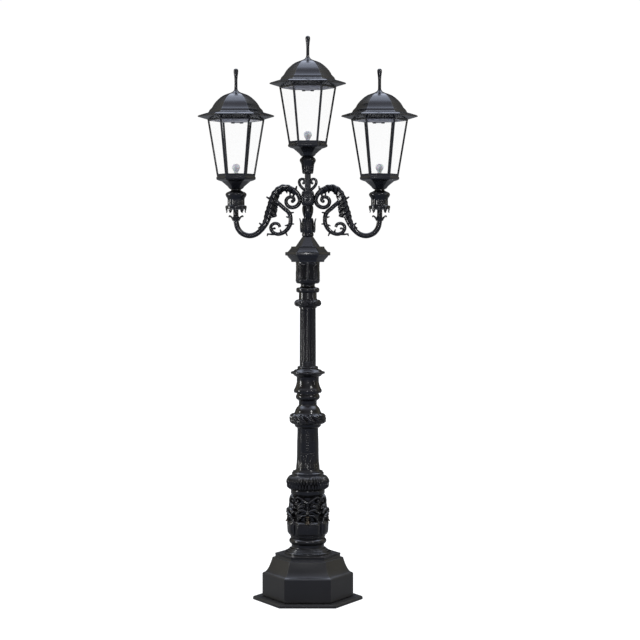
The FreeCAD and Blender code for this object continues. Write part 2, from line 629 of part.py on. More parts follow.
# ---------------------------------------------------------------- access door and gear
slab = box("Door_slab", -dw, dw, rear - V["door_thick"], rear, dm - dh, dm + dh)
strap = box("Door_strap", 40.0, 98.0, rear - 1.0, rear + 5.0, 80.0, 148.0)
strap_end = box("Door_strap_end", 90.0, px, rear + 0.6, rear + 5.0, 80.0, 148.0)
knuck = cylinder("Door_knuckle_round", "door_knuckle", 76.0, 152.0, px, py)
door = fuse("door_solid", [slab, strap, strap_end, knuck])
lock_hole = doc.addObject("Part::Cylinder", "Door_lock_hole")
bind(lock_hole, "Radius", "lock_bore")
lock_hole.Height = 60
lock_hole.Placement = Placement(Vector(-V["lock_x"], rear - 30, dm), Rotation(Vector(1, 0, 0), -90))
keep(cut("access_door", door, fuse("door_holes", [
    lock_hole, cylinder("Door_pin_bore", "door_bore", 60, 170, px, py)])))
keep(cylinder("door_hinge_pin", "door_pin", 50.0, 178.0, px, py))
finals[-1].Label = "door_hinge_pin"

# Quarter-turn lock: spindle through the door, keyed head outside, tongue behind the lip.
lx = -V["lock_x"]
spindle = Part.makeCylinder(V["lock_radius"], 24.0, Vector(lx, rear - 18, dm), Vector(0, 1, 0))
head = Part.makeCylinder(15.0, 3.0, Vector(lx, rear + 0.3, dm), Vector(0, 1, 0))
tri = Part.makePolygon([Vector(lx + 6 * math.cos(math.radians(a)), rear + 10,
                               dm + 6 * math.sin(math.radians(a))) for a in (90, 210, 330, 450)])
socket = Part.Face(tri).extrude(Vector(0, -9, 0))
tongue = Part.makeBox(12.0, 6.0, 34.0, Vector(lx - 6, rear - 24, dm - 4))
neck = Part.makeCylinder(6.0, 10.0, Vector(lx, rear - 24, dm), Vector(0, 1, 0))
keep(feature("door_lock", spindle.fuse(head).fuse(neck).fuse(tongue).cut(socket)))

# Gear board on the column tube, facing the door, and the fused cut-out on it.
board = Part.makeBox(150, 12, 150, Vector(-75, 60, 40)).fuse(
    Part.makeBox(30, 30, 60, Vector(-15, 32, 80)))
board = board.cut(Part.makeCylinder(V["tube_outer"], 400, Vector(0, 0, 0)))
keep(feature("gear_board", largest(board)))
unit = Part.makeBox(70, 45, 90, Vector(-35, 72, 70))
unit = unit.makeFillet(4.0, [e for e in unit.Edges if abs(e.Vertexes[0].Point.y - 117) < 1e-6
                             and abs(e.Vertexes[-1].Point.y - 117) < 1e-6])
keep(feature("fuse_unit", unit))

# ---------------------------------------------------------------- checks and export
doc.recompute()
bad = []
for obj in doc.Objects:
    if "Invalid" in obj.State or "Error" in obj.State:
        bad.append("%s %s %s" % (obj.Name, obj.Label, obj.State))
seen = set()
for obj in finals:
    s = obj.Shape
    if s.isNull() or not s.isValid() or not s.Solids or s.Volume <= 0:
        bad.append("shape " + obj.Label)
    if obj.Label in widths:
        across = s.optimalBoundingBox(True, False).XLength / 2.0
        if abs(across - widths[obj.Label]) > 1.5:
            bad.append("width %s %.1f wanted %.1f" % (obj.Label, across, widths[obj.Label]))
    if obj.Label in seen:
        bad.append("label twice " + obj.Label)
    seen.add(obj.Label)
if bad:
    raise RuntimeError("; ".join(bad))
os.makedirs("parts", exist_ok=True)
for obj in finals:
    obj.Shape.exportStep("parts/" + obj.Label + ".step")
    bb = obj.Shape.BoundBox
    print("%-20s solids %d  vol %11.0f  z %7.1f..%7.1f  x %7.1f..%7.1f" % (
        obj.Label, len(obj.Shape.Solids), obj.Shape.Volume, bb.ZMin, bb.ZMax, bb.XMin, bb.XMax))
print("nodes", len(finals))
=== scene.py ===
import math
import random

import bpy
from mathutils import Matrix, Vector


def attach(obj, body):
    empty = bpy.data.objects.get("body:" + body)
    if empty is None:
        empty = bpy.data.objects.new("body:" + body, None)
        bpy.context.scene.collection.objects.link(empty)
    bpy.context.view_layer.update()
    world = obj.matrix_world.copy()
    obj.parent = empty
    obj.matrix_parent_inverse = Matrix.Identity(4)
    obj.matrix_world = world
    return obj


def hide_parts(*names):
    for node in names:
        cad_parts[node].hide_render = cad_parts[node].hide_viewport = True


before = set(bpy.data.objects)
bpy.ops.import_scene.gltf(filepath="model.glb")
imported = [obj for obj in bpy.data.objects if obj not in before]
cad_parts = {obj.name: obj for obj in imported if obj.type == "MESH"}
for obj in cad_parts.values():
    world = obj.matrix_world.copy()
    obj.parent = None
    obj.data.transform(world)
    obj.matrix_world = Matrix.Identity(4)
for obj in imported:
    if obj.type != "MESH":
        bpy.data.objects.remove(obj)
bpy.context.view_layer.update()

random.seed(7)
MM = 0.001
TAU = 2 * math.pi


# ------------------------------------------------------------------ mesh helpers (millimetres)
class Soup:
    """Closed shells gathered into one mesh."""

    def __init__(self):
        self.v, self.f = [], []

    def rings(self, rings, cap=True):
        """Joins rings of equal count; caps the two ends with fans."""
        base, n = len(self.v), len(rings[0])
        for ring in rings:
            self.v.extend(ring)
        for i in range(len(rings) - 1):
            a, b = base + i * n, base + (i + 1) * n
            for j in range(n):
                k = (j + 1) % n
                self.f.append((a + j, a + k, b + k, b + j))
        if cap:
            for ring, start, flip in ((rings[0], base, True), (rings[-1], base + (len(rings) - 1) * n, False)):
                c = len(self.v)
                self.v.append(tuple(sum(p[q] for p in ring) / n for q in range(3)))
                for j in range(n):
                    k = (j + 1) % n
                    self.f.append((start + k, start + j, c) if flip else (start + j, start + k, c))
        return self

    def loop_rings(self, rings):
        """Rings joined in a closed loop, last to first: a hollow shell with thickness."""
        base, n, m = len(self.v), len(rings[0]), len(rings)
        for ring in rings:
            self.v.extend(ring)
        for i in range(m):
            a, b = base + i * n, base + ((i + 1) % m) * n
            for j in range(n):
                k = (j + 1) % n
                self.f.append((a + j, a + k, b + k, b + j))
        return self

    def moved(self, dx=0.0, dy=0.0, dz=0.0, mirror=False, spin=0.0):
        s = Soup()
        c, d = math.cos(spin), math.sin(spin)
        sg = -1.0 if mirror else 1.0
        s.v = [(sg * (x * c - y * d) + dx, x * d + y * c + dy, z + dz) for x, y, z in self.v]
        s.f = [tuple(reversed(f)) for f in self.f] if mirror else list(self.f)
        return s

    def add(self, other):
        base = len(self.v)
        self.v.extend(other.v)
        self.f.extend(tuple(i + base for i in f) for f in other.f)
        return self

    def piece(self, name, material, body="post", replaces=(), slot=None, angle=32.0):
        me = bpy.data.meshes.new(name)
        me.from_pydata([(x * MM, y * MM, z * MM) for x, y, z in self.v], [], self.f)
        me.validate()
        me.update()
        import bmesh
        bm = bmesh.new()
        bm.from_mesh(me)
        bmesh.ops.recalc_face_normals(bm, faces=bm.faces)
        bm.to_mesh(me)
        bm.free()
        me.shade_smooth()
        me.set_sharp_from_angle(angle=math.radians(angle))
        ob = bpy.data.objects.new(name, me)
        bpy.context.scene.collection.objects.link(ob)
        me.materials.append(material)
        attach(ob, body)
        if replaces:
            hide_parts(*replaces)
        return ob


def arc(p, q, sag, n=10):
    """Points from p to just before q along an arc of that sag (positive bulges outward)."""
    dx, dz = q[0] - p[0], q[1] - p[1]
    chord = math.hypot(dx, dz)
    nx, nz = dz / chord, -dx / chord
    if nx < 0:
        nx, nz = -nx, -nz
    out = []
    for i in range(n):
        t = i / n
        b = 4 * t * (1 - t)
        out.append((p[0] + dx * t + nx * sag * b, p[1] + dz * t + nz * sag * b))
    return out


def profile(points):
    """Expands (r, z, sag) entries into arcs."""
    out = []
    for i, p in enumerate(points):
        if len(p) > 2 and i + 1 < len(points):
            out += arc(p, points[i + 1], p[2])
        else:
            out.append((p[0], p[1]))
    return out


def soften(pts, rad=2.5, least=18.0, steps=3):
    """Rounds the sharp corners of a profile, as cast edges are."""
    out = [pts[0]]
    for i in range(1, len(pts) - 1):
        a, b, c = pts[i - 1], pts[i], pts[i + 1]
        u, w = (a[0] - b[0], a[1] - b[1]), (c[0] - b[0], c[1] - b[1])
        lu, lw = math.hypot(*u), math.hypot(*w)
        if lu < 1e-6 or lw < 1e-6:
            continue
        dot = max(-1.0, min(1.0, (u[0] * w[0] + u[1] * w[1]) / lu / lw))
        if 180 - math.degrees(math.acos(dot)) < least:
            out.append(b)
            continue
        cutoff = min(rad, 0.4 * lu, 0.4 * lw)
        p = (b[0] + u[0] / lu * cutoff, b[1] + u[1] / lu * cutoff)
        q = (b[0] + w[0] / lw * cutoff, b[1] + w[1] / lw * cutoff)
        for k in range(steps + 1):
            t = k / steps
            out.append(tuple((1 - t) ** 2 * p[j] + 2 * t * (1 - t) * b[j] + t * t * q[j] for j in (0, 1)))
    out.append(pts[-1])
    return out


def dense(pts, step):
    out = []
    for a, b in zip(pts, pts[1:]):
        n = max(1, int(math.ceil(math.hypot(b[0] - a[0], b[1] - a[1]) / step)))
        out += [(a[0] + (b[0] - a[0]) * i / n, a[1] + (b[1] - a[1]) * i / n) for i in range(n)]
    return out + [pts[-1]]


def lathe(pts, n=96, mod=None, zmod=None, ox=0.0, drop=0.0):
    rings = []
    for r, z in pts:
        ring = []
        for j in range(n):
            th = TAU * j / n
            rr = r + (mod(th, z, r) if mod else 0.0)
            zz = z + (zmod(th, z, r) if zmod else 0.0)
            ring.append((rr * math.cos(th) + ox, rr * math.sin(th), zz - drop))
        rings.append(ring)
    return Soup().rings(rings)


def hex_ring(corner, z, fillet=4.0, ox=0.0, drop=0.0, seg=3):
    """A hexagon with rounded corners; a corner points along +X."""
    ring = []
    f = min(fillet, corner * 0.2)
    reach = corner - f / math.cos(math.pi / 6)
    for k in range(6):
        a = math.pi / 3 * k
        cx, cy = reach * math.cos(a), reach * math.sin(a)
        for j in range(seg + 1):
            b = a - math.pi / 6 + math.pi / 3 * j / seg
            ring.append((cx + f * math.cos(b) + ox, cy + f * math.sin(b), z - drop))
    return ring


def hexpiece(pts, fillet=4.0, ox=0.0, drop=0.0, rad=2.5):
    return Soup().rings([hex_ring(c, z, fillet, ox, drop) for c, z in soften(profile(pts), rad)])


def smooth_line(points, step=4.0):
    """A Catmull-Rom line through points of any dimension, evenly divided."""
    P = [points[0]] + list(points) + [points[-1]]
    out = []
    for i in range(1, len(P) - 2):
        p0, p1, p2, p3 = P[i - 1], P[i], P[i + 1], P[i + 2]
        n = max(2, int(math.dist(p1, p2) / step))
        for k in range(n):
            t = k / n
            out.append(tuple(0.5 * (2 * b + (c - a) * t + (2 * a - 5 * b + 4 * c - d) * t * t
                                    + (3 * b - a - 3 * c + d) * t ** 3)
                             for a, b, c, d in zip(p0, p1, p2, p3)))
    out.append(tuple(points[-1]))
    return out


def tube(line, radius, n=20, flat=1.0):
    """A rod along a line in the XZ plane; radius is a function of 0..1; flat scales its depth."""
    s = Soup()
    rings, m = [], len(line)
    for i, p in enumerate(line):
        a, b = line[max(0, i - 1)], line[min(m - 1, i + 1)]
        tx, tz = b[0] - a[0], b[1] - a[1]
        q = math.hypot(tx, tz) or 1.0
        nx, nz = -tz / q, tx / q
        r = radius(i / (m - 1))
        rings.append([(p[0] + nx * r * math.cos(TAU * j / n), r * flat * math.sin(TAU * j / n),
                       p[1] + nz * r * math.cos(TAU * j / n)) for j in range(n)])
    return s.rings(rings)


def blob(x, y, z, rx, ry, rz, n=20, m=12):
    rings = []
    for i in range(1, m):
        a = math.pi * i / m
        rings.append([(x + rx * math.sin(a) * math.cos(TAU * j / n), y + ry * math.sin(a) * math.sin(TAU * j / n),
                       z - rz * math.cos(a)) for j in range(n)])
    return Soup().rings(rings)


def leaf(line, width, thick, angle, cup=0.25, cols=9, rib=1.2, ox=0.0, drop=0.0):
    """A pointed leaf standing in the radial plane at an angle, curling along (radius, height)."""
    m, rings = len(line), []
    ca, sa = math.cos(angle), math.sin(angle)
    for i, p in enumerate(line):
        a, b = line[max(0, i - 1)], line[min(m - 1, i + 1)]
        tr, tz = b[0] - a[0], b[1] - a[1]
        q = math.hypot(tr, tz) or 1.0
        nr, nz = tz / q, -tr / q
        t = i / (m - 1)
        w = max(0.6, width(t))
        th = max(0.5, thick * (1 - 0.6 * t))
        ring = []
        for side in (1, -1):
            for k in range(cols):
                c = -1 + 2 * k / (cols - 1)
                if side < 0:
                    c = -c
                bow = -cup * w * c * c
                off = side * th * 0.5 * (1 - 0.65 * abs(c))
                if side > 0:
                    off += rib * (math.exp(-(c / 0.16) ** 2) + 0.5 * math.exp(-((abs(c) - 0.6) / 0.14) ** 2))
                r = p[0] + nr * (bow + off)
                z = p[1] + nz * (bow + off)
                y = c * w
                ring.append((r * ca - y * sa + ox, r * sa + y * ca, z - drop))
        rings.append(ring)
    return Soup().rings(rings)


# ------------------------------------------------------------------ materials
def shader(name, **sockets):
    mat = bpy.data.materials.new(name)
    mat.use_nodes = True
    nt = mat.node_tree
    bsdf = nt.nodes["Principled BSDF"]
    for key, value in sockets.items():
        bsdf.inputs[key.replace("_", " ")].default_value = value
    return mat, nt, bsdf


def coords(nt):
    return nt.nodes.new("ShaderNodeTexCoord").outputs["Object"]


def noise(nt, vec, scale, detail=4.0, rough=0.55, stretch=None):
    if stretch:
        mp = nt.nodes.new("ShaderNodeMapping")
        mp.inputs["Scale"].default_value = stretch
        nt.links.new(vec, mp.inputs["Vector"])
        vec = mp.outputs["Vector"]
    n = nt.nodes.new("ShaderNodeTexNoise")
    n.inputs["Scale"].default_value = scale
    n.inputs["Detail"].default_value = detail
    n.inputs["Roughness"].default_value = rough
    nt.links.new(vec, n.inputs["Vector"])
    return n.outputs["Fac"]


def ramp(nt, fac, stops):
    r = nt.nodes.new("ShaderNodeValToRGB")
    els = r.color_ramp.elements
    while len(els) < len(stops):
        els.new(0.5)
    for e, (pos, col) in zip(els, stops):
        e.position = pos
        e.color = (*col, 1.0) if len(col) == 3 else col
    nt.links.new(fac, r.inputs["Fac"])
    return r.outputs["Color"]


def bump(nt, bsdf, fac, strength, distance):
    b = nt.nodes.new("ShaderNodeBump")
    b.inputs["Strength"].default_value = strength
    b.inputs["Distance"].default_value = distance
    nt.links.new(fac, b.inputs["Height"])
    nt.links.new(b.outputs["Normal"], bsdf.inputs["Normal"])


def span(nt, fac, lo, hi):
    m = nt.nodes.new("ShaderNodeMapRange")
    m.inputs["From Min"].default_value = 0.3
    m.inputs["From Max"].default_value = 0.7
    m.inputs["To Min"].default_value = lo
    m.inputs["To Max"].default_value = hi
    nt.links.new(fac, m.inputs["Value"])
    return m.outputs["Result"]


def black_paint(name, dark, light, rough_lo, rough_hi, grain, depth, coat):
    """Black enamel over metal: faint tonal drift, lighter worn edges, uneven gloss and a fine skin."""
    mat, nt, bsdf = shader(name, Metallic=0.0, IOR=1.42, Coat_Weight=coat, Coat_Roughness=0.10, Coat_IOR=1.4)
    vec = coords(nt)
    broad = noise(nt, vec, 4.0, 5.0)
    col = ramp(nt, broad, [(0.3, dark), (0.7, light)])
    geo = nt.nodes.new("ShaderNodeNewGeometry")
    wear = ramp(nt, geo.outputs["Pointiness"], [(0.50, (0.0, 0.0, 0.0)), (0.60, (1.0, 1.0, 1.0))])
    mix = nt.nodes.new("ShaderNodeMix")
    mix.data_type = "RGBA"
    mix.inputs["B"].default_value = (light[0] * 2.2, light[1] * 2.15, light[2] * 2.1, 1.0)
    nt.links.new(wear, mix.inputs["Factor"])
    nt.links.new(col, mix.inputs["A"])
    nt.links.new(mix.outputs["Result"], bsdf.inputs["Base Color"])
    nt.links.new(span(nt, noise(nt, vec, 9.0, 6.0), rough_lo, rough_hi), bsdf.inputs["Roughness"])
    bump(nt, bsdf, noise(nt, vec, grain, 2.0, 0.5), 0.18, depth)
    return mat


IRON = black_paint("cast_black", (0.0035, 0.0034, 0.0033), (0.0075, 0.0072, 0.0068), 0.16, 0.26, 90.0, 0.00030, 0.25)
PLINTH = black_paint("plinth_black", (0.0075, 0.0074, 0.0072), (0.0105, 0.0102, 0.0098), 0.30, 0.38, 120.0, 0.00012, 0.10)
BRACKET = black_paint("bracket_black", (0.0030, 0.0030, 0.0033), (0.0065, 0.0066, 0.0072), 0.18, 0.28, 120.0, 0.00025, 0.2)
LANTERN = black_paint("lantern_black", (0.0045, 0.0048, 0.0058), (0.0085, 0.0090, 0.0108), 0.20, 0.27, 120.0, 0.00008, 0.3)


def plain(name, lo, hi, rough_lo, rough_hi, metallic, grain, depth, stretch=None, **more):
    mat, nt, bsdf = shader(name, Metallic=metallic, **more)
    vec = coords(nt)
    nt.links.new(ramp(nt, noise(nt, vec, 14.0, 5.0), [(0.3, lo), (0.7, hi)]), bsdf.inputs["Base Color"])
    nt.links.new(span(nt, noise(nt, vec, 30.0, 5.0), rough_lo, rough_hi), bsdf.inputs["Roughness"])
    bump(nt, bsdf, noise(nt, vec, grain, 3.0, 0.6, stretch), 0.3, depth)
    return mat


BRASS = plain("aged_brass", (0.022, 0.018, 0.014), (0.105, 0.088, 0.064), 0.20, 0.36, 1.0, 180.0, 0.0004)
STEEL = plain("pin_steel", (0.22, 0.22, 0.23), (0.38, 0.38, 0.39), 0.25, 0.45, 1.0, 300.0, 0.0001, (1, 1, 8))
TUBE = plain("tube_black", (0.008, 0.008, 0.009), (0.018, 0.018, 0.02), 0.3, 0.5, 0.0, 150.0, 0.0002)
BOARD = plain("board_grey", (0.22, 0.22, 0.22), (0.32, 0.32, 0.31), 0.45, 0.65, 0.0, 220.0, 0.0002)
HOLDER = plain("lampholder_white", (0.55, 0.55, 0.54), (0.72, 0.72, 0.70), 0.3, 0.45, 0.0, 200.0, 0.0001)
BULB = plain("frosted_bulb", (0.84, 0.84, 0.85), (0.92, 0.92, 0.93), 0.42, 0.55, 0.0, 420.0, 0.00005,
             Subsurface_Weight=0.15)
# Pale liner colour, partly the band's own grey and partly painted reflection and painted light: raised far above the
# enamel to stand in for the glass reflection over the skirt and to make up for the eave's shade.
LINER_PAINTED_REFLECTION = plain("liner_painted_reflection", (0.80, 0.79, 0.77), (0.88, 0.87, 0.85), 0.5, 0.7, 0.0, 160.0, 0.0002)

GLASS, _nt, _b = shader("clear_glass", IOR=1.45, Alpha=0.02)
_vec = coords(_nt)
_nt.links.new(ramp(_nt, noise(_nt, _vec, 3.0), [(0.3, (0.74, 0.73, 0.71)), (0.7, (0.82, 0.81, 0.79))]),
              _b.inputs["Base Color"])
_nt.links.new(span(_nt, noise(_nt, _vec, 8.0), 0.02, 0.08), _b.inputs["Roughness"])
bump(_nt, _b, noise(_nt, _vec, 9.0, 2.0), 0.05, 0.0004)


# ------------------------------------------------------------------ base and plinth
hexpiece([(413, 0), (413, 17), (408, 24)], 3.0).piece(
    "base_plate_cast", PLINTH, replaces=["base_plate"], slot="column_iron")

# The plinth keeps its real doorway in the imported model, so that node stays; the flare stands on it.
hexpiece([(335, 204), (319.5, 210), (312, 217.5), (306, 225), (301, 232.5), (296.3, 240), (292, 247.5),
          (288.8, 255), (285.5, 262.5), (282.3, 270), (279.6, 277.5), (276.8, 285), (274.2, 292.5),
          (271.8, 300), (269, 307.5), (266.3, 319), (248.5, 319.5), (244.5, 327), (244.5, 340), (248.5, 349)],
         4.0).piece("plinth_flare_cast", PLINTH, replaces=["plinth_flare"], slot="column_iron")

# ------------------------------------------------------------------ column
FOOT = [(176, 349), (176, 364), (170, 367), (152, 368), (152, 379), (139, 381), (139, 390), (123, 393),
        (122, 419), (123, 420, 18), (122, 469)]
lathe(soften(profile(FOOT), 5.0), 128).piece("foot_cast", IRON, replaces=["foot_moulding"], slot="column_iron")

def gadroon(th, z, r):
    """Fine upright leaves of uneven width, lapped in two rows."""
    if z < 831 or z > 932:
        return 0.0
    t = (z - 831) / 101.0
    swell = math.sin(math.pi * min(1, max(0, t))) ** 0.45
    wob = 0.35 * math.sin(7 * th + 1.0) + 0.25 * math.sin(11 * th)
    upper = t > 0.46 + 0.05 * math.cos(40 * th)
    a = abs(math.cos((20 if upper else 20) * th + (0.0 if upper else math.pi / 2) + wob))
    vein = abs(math.cos(40 * th + 2 * wob))
    return swell * (-13.0 * (1 - a) ** 1.1 - 2.0 * (1 - vein) - (0.0 if upper else 3.0))


GAD = [(125, 829), (136.5, 832.5), (149, 840), (158.5, 848), (162, 858), (162.5, 890), (161.5, 900), (152, 917),
       (139.5, 931), (122, 934), (120, 938), (120, 955), (112.5, 960), (112.5, 967.5)]
lathe(dense(soften(profile(GAD), 3.0), 4), 520, gadroon).piece(
    "gadroon_cast", IRON, replaces=["gadroon_collar"], slot="column_iron", angle=50)

LOW = [(96.8, 967.5), (89.3, 982.5), (87, 1004), (84, 1035), (82, 1090), (81, 1188), (78.4, 1255), (78.4, 1290)]


def motif(th, z, r):
    """A palmette at the foot with a string of husks above it, front and back; low leaves at the foot."""
    h = 0.0
    if z < 1062:
        t = max(0.0, (z - 984) / 78.0)
        u = (8 * th / TAU) % 1.0 - 0.5
        edge = 0.46 * math.sqrt(max(0.0, 1 - t * t))
        if z > 986 and abs(u) < edge:
            h = max(h, 1.8 * (1 - (abs(u) / edge) ** 2) ** 0.5 + 0.7 * math.exp(-(u / 0.05) ** 2))
    for centre in (math.pi / 2, 3 * math.pi / 2):
        a = (th - centre + math.pi) % TAU - math.pi
        x = a * r
        if abs(x) > 62:
            continue
        if 985 < z < 1108:
            w = z - 992
            lobe = 0.0
            if 104 < w < 111 and abs(x) < 50:
                lobe = 3.6
            for k in range(-1, 2):
                ang = k * 0.20
                px_, pz_ = x - k * 24.0, w
                along = px_ * math.sin(ang) + pz_ * math.cos(ang)
                across = px_ * math.cos(ang) - pz_ * math.sin(ang)
                length = 108 - 6 * abs(k)
                if 0 < along < length:
                    f = along / length
                    wide = 15.5 * math.sin(math.pi * min(0.97, 0.14 + 0.72 * f)) ** 0.7
                    if abs(across) < wide:
                        c = abs(across) / wide
                        lobe = max(lobe, 4.6 * math.sqrt(1 - c ** 2) - 3.4 * math.exp(-((c - 0.0) / 0.42) ** 2) * math.sin(math.pi * f))
            h = max(h, lobe)
        for k in range(8):
            zc = 1124 + 19.0 * k
            q = (x / (8.5 - 0.5 * k)) ** 2 + ((z - zc) / 9.0) ** 2
            if q < 1:
                h = max(h, 4.0 * math.sqrt(1 - q))
        if z > 1112 and abs(abs(x) - 17) < 2.2 and z < 1276:
            h = max(h, 1.1 * math.sqrt(1 - ((abs(x) - 17) / 2.2) ** 2))
    return h


low = lathe(dense(soften(profile(LOW), 3.0), 2.6), 420, motif)
low.piece("lower_shaft_cast", IRON, replaces=["lower_shaft"], slot="column_iron", angle=60)


def carved(count, z0, z1, amp, lean):
    """Rolled leaves that lean round a moulding, each with a curled edge, a midrib and side veins."""
    def mod(th, z, r):
        t = (z - z0) / (z1 - z0)
        if t <= 0 or t >= 1:
            return 0.0
        env = math.sin(math.pi * t) ** 0.5
        u = (count * th / TAU + lean * (t - 0.5) + 0.10 * math.sin(5 * t + 2 * th)) % 1.0
        body = math.sin(math.pi * u) ** 0.55
        roll = 0.55 * math.exp(-((u - 0.80) / 0.09) ** 2)
        veins = 0.22 * math.cos(TAU * (3.2 * t + 1.6 * u)) * math.sin(math.pi * u)
        return env * amp * (body + roll + veins - 1.25)
    return mod


LEAFT = [(79, 1290), (96.8, 1303), (100.5, 1320), (113, 1322), (126, 1328), (134, 1336), (137.5, 1348), (138, 1364),
         (137, 1380), (133, 1390), (122, 1398), (103, 1402.5)]
lathe(dense(soften(profile(LEAFT), 3.0), 2.5), 480, carved(11, 1322, 1401, 13, 0.8)).piece(
    "leaf_torus_cast", IRON, replaces=["leaf_torus"], slot="column_iron", angle=60)
BELL = [(102.4, 1402.5), (97.5, 1412, 4), (72, 1456), (67.5, 1462), (67.5, 1494), (73.5, 1500, 11), (84.5, 1541),
        (82.5, 1545), (82.5, 1556)]
lathe(soften(profile(BELL), 3.0), 112).piece("bell_cast", IRON, replaces=["bell_coupling"], slot="column_iron")
SKIRT = [(101, 1556, 2.5), (104.5, 1577, -3), (84, 1632), (83.3, 1636), (83.3, 1674), (100, 1682), (112, 1696),
         (128.5, 1699), (128.5, 1712), (108, 1717), (98, 1728), (81, 1731), (75.8, 1740), (79, 1744), (79, 1750), (68, 1755)]
lathe(soften(profile(SKIRT), 3.0), 112).piece("skirt_cast", IRON, replaces=["skirt_collar"], slot="column_iron")


def flutes(th, z, r):
    u = (16 * th / TAU) % 1.0 - 0.5
    x = u / 0.36
    end = min(1.0, max(0.0, (z - 1787) / 9.0), max(0.0, (2184 - z) / 9.0))
    if end <= 0 or abs(x) >= 1:
        return 0.0
    return -6.0 * math.sqrt(1 - x * x) * math.sqrt(max(0.0, 1 - (1 - end) ** 2))


SHAFT = [(61.1, 1755), (61.0, 1784), (61.0, 1787), (60.95, 1789.5), (60.9, 1792), (60.9, 1796), (60.2, 1980),
         (59.5, 2175), (59.4, 2179), (59.4, 2181.5), (59.4, 2184), (59.3, 2190)]
lathe(SHAFT, 384, flutes).piece("fluted_shaft_cast", IRON, replaces=["fluted_shaft"], slot="column_iron", angle=40)

URING = [(66.4, 2190), (66.4, 2199), (90, 2204, 13), (90, 2251), (68, 2256), (67, 2306)]
lathe(dense(soften(profile(URING), 3.0), 2.2), 420, carved(12, 2203, 2252, 7.5, 1.0)).piece(
    "upper_ring_cast", IRON, replaces=["upper_ring"], slot="column_iron", angle=60)
NRING = [(72, 2306), (82, 2309), (86, 2315), (87, 2325), (86, 2335), (80, 2342), (59, 2346), (52.5, 2354), (52.5, 2364), (57.4, 2374)]
lathe(soften(profile(NRING), 2.5), 96).piece("neck_ring_cast", IRON, replaces=["neck_ring"], slot="column_iron")


def feather(th, z, r):
    """Panels of slanting feather ribs between smooth upright ribs."""
    t = (z - 2394) / 132.0
    if t <= 0 or t >= 1:
        return 0.0
    env = min(1.0, t * 9, (1 - t) * 9)
    u = (6 * th / TAU) % 1.0 - 0.5
    side = abs(u)
    if side < 0.12:
        return env * 1.4 * math.cos(math.pi * side / 0.24)
    ribs = abs(math.sin(math.pi * (8.0 * t + 4.6 * side)))
    return env * (-7.5 * (1 - ribs) ** 0.7 - 1.0)


UDRUM = [(76, 2374, 4), (90, 2393), (91.8, 2400), (91.8, 2462), (90, 2467), (90, 2535)]
lathe(dense(soften(profile(UDRUM), 3.0), 2.4), 360, feather).piece(
    "upper_drum_cast", IRON, replaces=["upper_drum"], slot="column_iron", angle=60)

hexpiece([(123, 2535), (124.5, 2546), (134, 2557), (148.5, 2572), (155, 2583), (169.5, 2584), (169.5, 2609),
          (150, 2611), (138, 2625), (126, 2640), (124.5, 2651), (91, 2651.5), (39, 2727)], 2.5, rad=2.0).piece(
    "hex_collar_cast", LANTERN, replaces=["hex_collar"], slot="column_iron")


# ------------------------------------------------------------------ grotesque leaf masks
def stroke(pts, radius, top, ripple=0.0):
    return (smooth_line(pts, 4), radius, top, ripple)


def ease(a, b, t):
    t = max(0.0, min(1.0, (t - a) / (b - a)))
    return t * t * (3 - 2 * t)


lin = lambda a, b: (lambda t: a + (b - a) * t)
hump = lambda a, b, c=None: (lambda t: (a + ((a if c is None else c) - a) * t) + (b - a) * math.sin(math.pi * t))
STROKES = [
    # brow: a V whose arms end in volutes
    stroke([(0, 82), (20, 94), (44, 114), (70, 126), (92, 118), (95, 100), (82, 91), (71, 98), (76, 108)],
           lambda t: 12.5 - 4.0 * t, lambda t: 13 + 4 * math.sin(math.pi * t)),
    # leaf blades that fan down and out from the nose
    stroke([(8, 22), (30, 33), (58, 26), (84, 6), (96, 24)], hump(7, 16, 3), lambda t: 27 - 9 * t, 0.0),
    stroke([(12, -6), (34, -8), (58, -24), (72, -50), (86, -58)], hump(7, 15, 4), lambda t: 31 - 17 * t, 0.0),
    # nose ridge and tip
    stroke([(0, 92), (0, 64), (0, 38)], lin(5, 7), lin(10, 18)),
    stroke([(0, 32), (0, 10)], lin(9, 14), lin(32, 37)),
    stroke([(0, 4), (15, -3)], lin(12, 9), lin(35, 28)),
    # lips round the spout
    stroke([(0, -18), (19, -22), (23, -38), (12, -52), (0, -54)], hump(5, 6), lin(26, 26)),
]


